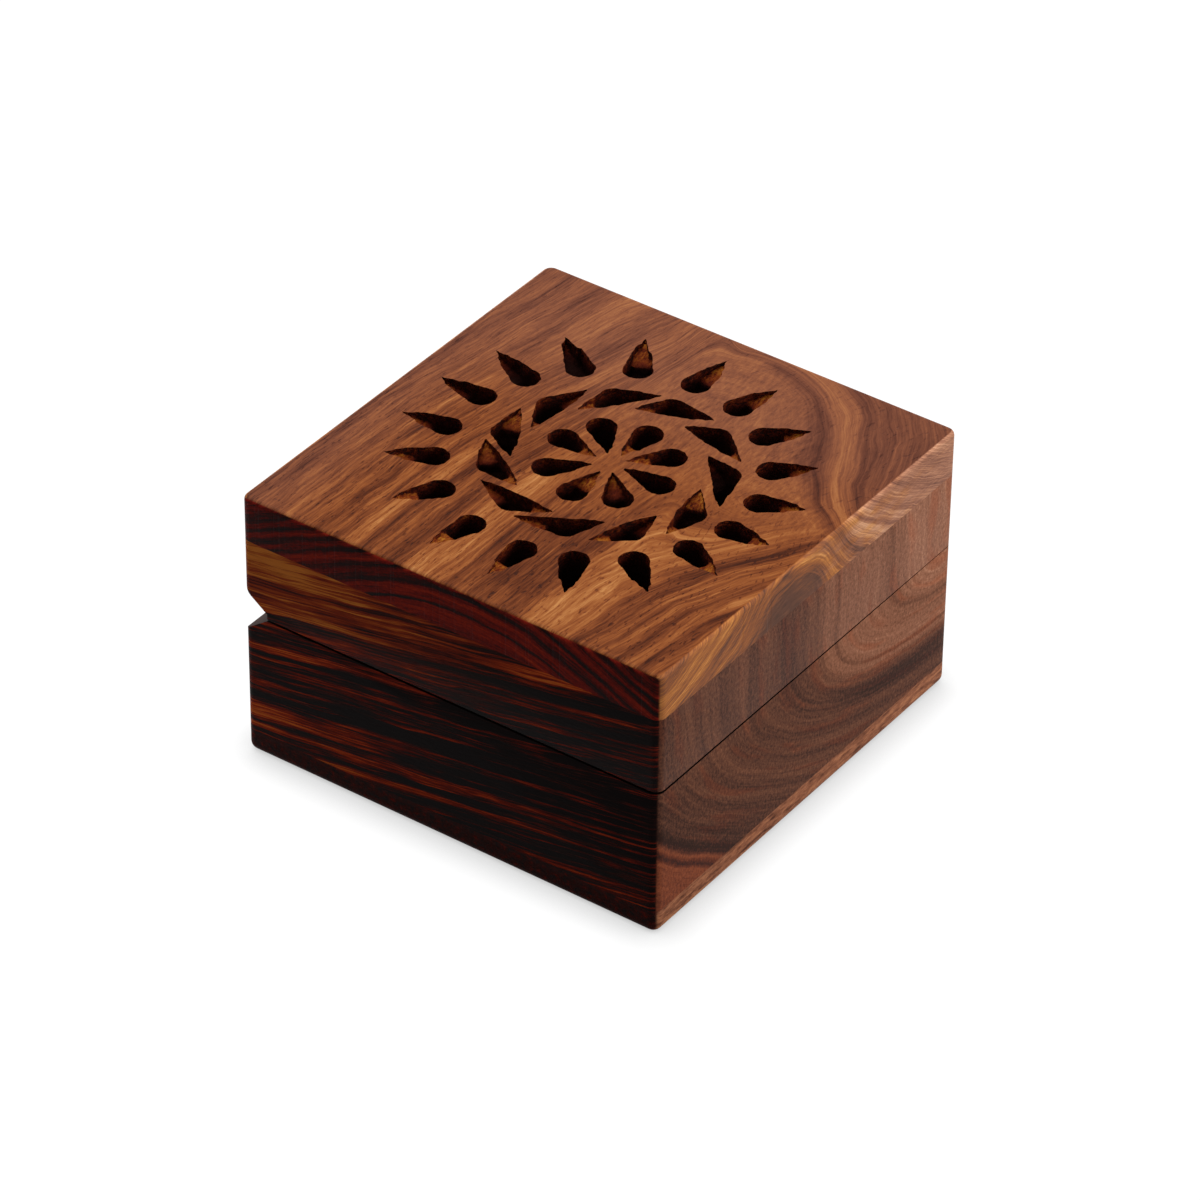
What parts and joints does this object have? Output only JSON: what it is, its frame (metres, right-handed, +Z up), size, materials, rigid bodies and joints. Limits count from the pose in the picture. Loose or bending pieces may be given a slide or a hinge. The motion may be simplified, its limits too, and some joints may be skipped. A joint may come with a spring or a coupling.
{
  "type": "carved wooden box",
  "caption": "Small square wooden keepsake box; its hinged lid is pierced with a carved rosette of petals, swirling leaves and rays.",
  "frame": {"origin": "middle of the underside, on the surface that the box stands on", "axes": "+Z up; X along the hinges, across the front; the front is at -Y and the hinges are at +Y"},
  "size_m": [0.102, 0.1, 0.062],
  "materials": {
    "lid_panel_wood": "satin varnish, long grain along X, mid brown with darker streaks",
    "block_wood": "satin varnish, grain along Y, dark red-brown with near-black bands",
    "base_panel_wood": "satin varnish, grain along X, brown",
    "hinge_brass": "lightly tarnished rolled brass",
    "pin_steel": "plain wire",
    "screw_brass": "plain brass screws"
  },
  "bodies": {
    "base": {"base_panel": "base_panel_wood", "base_frame": "block_wood", "hinge_left_base_leaf": "hinge_brass", "hinge_left_pin": "pin_steel", "hinge_left_base_screw_1": "screw_brass", "hinge_left_base_screw_2": "screw_brass", "hinge_right_base_leaf": "hinge_brass", "hinge_right_pin": "pin_steel", "hinge_right_base_screw_1": "screw_brass", "hinge_right_base_screw_2": "screw_brass"},
    "lid": {"lid_frame": "block_wood", "lid_panel": "lid_panel_wood", "hinge_left_lid_leaf": "hinge_brass", "hinge_left_lid_screw_1": "screw_brass", "hinge_left_lid_screw_2": "screw_brass", "hinge_right_lid_leaf": "hinge_brass", "hinge_right_lid_screw_1": "screw_brass", "hinge_right_lid_screw_2": "screw_brass"}
  },
  "joints": [
    {"name": "lid_hinge", "type": "hinge", "parent": "base", "child": "lid", "pos_m": [0, 0.0465, 0.0344], "axis": [-1, 0, 0], "range_deg": [0, 116]}
  ]
}
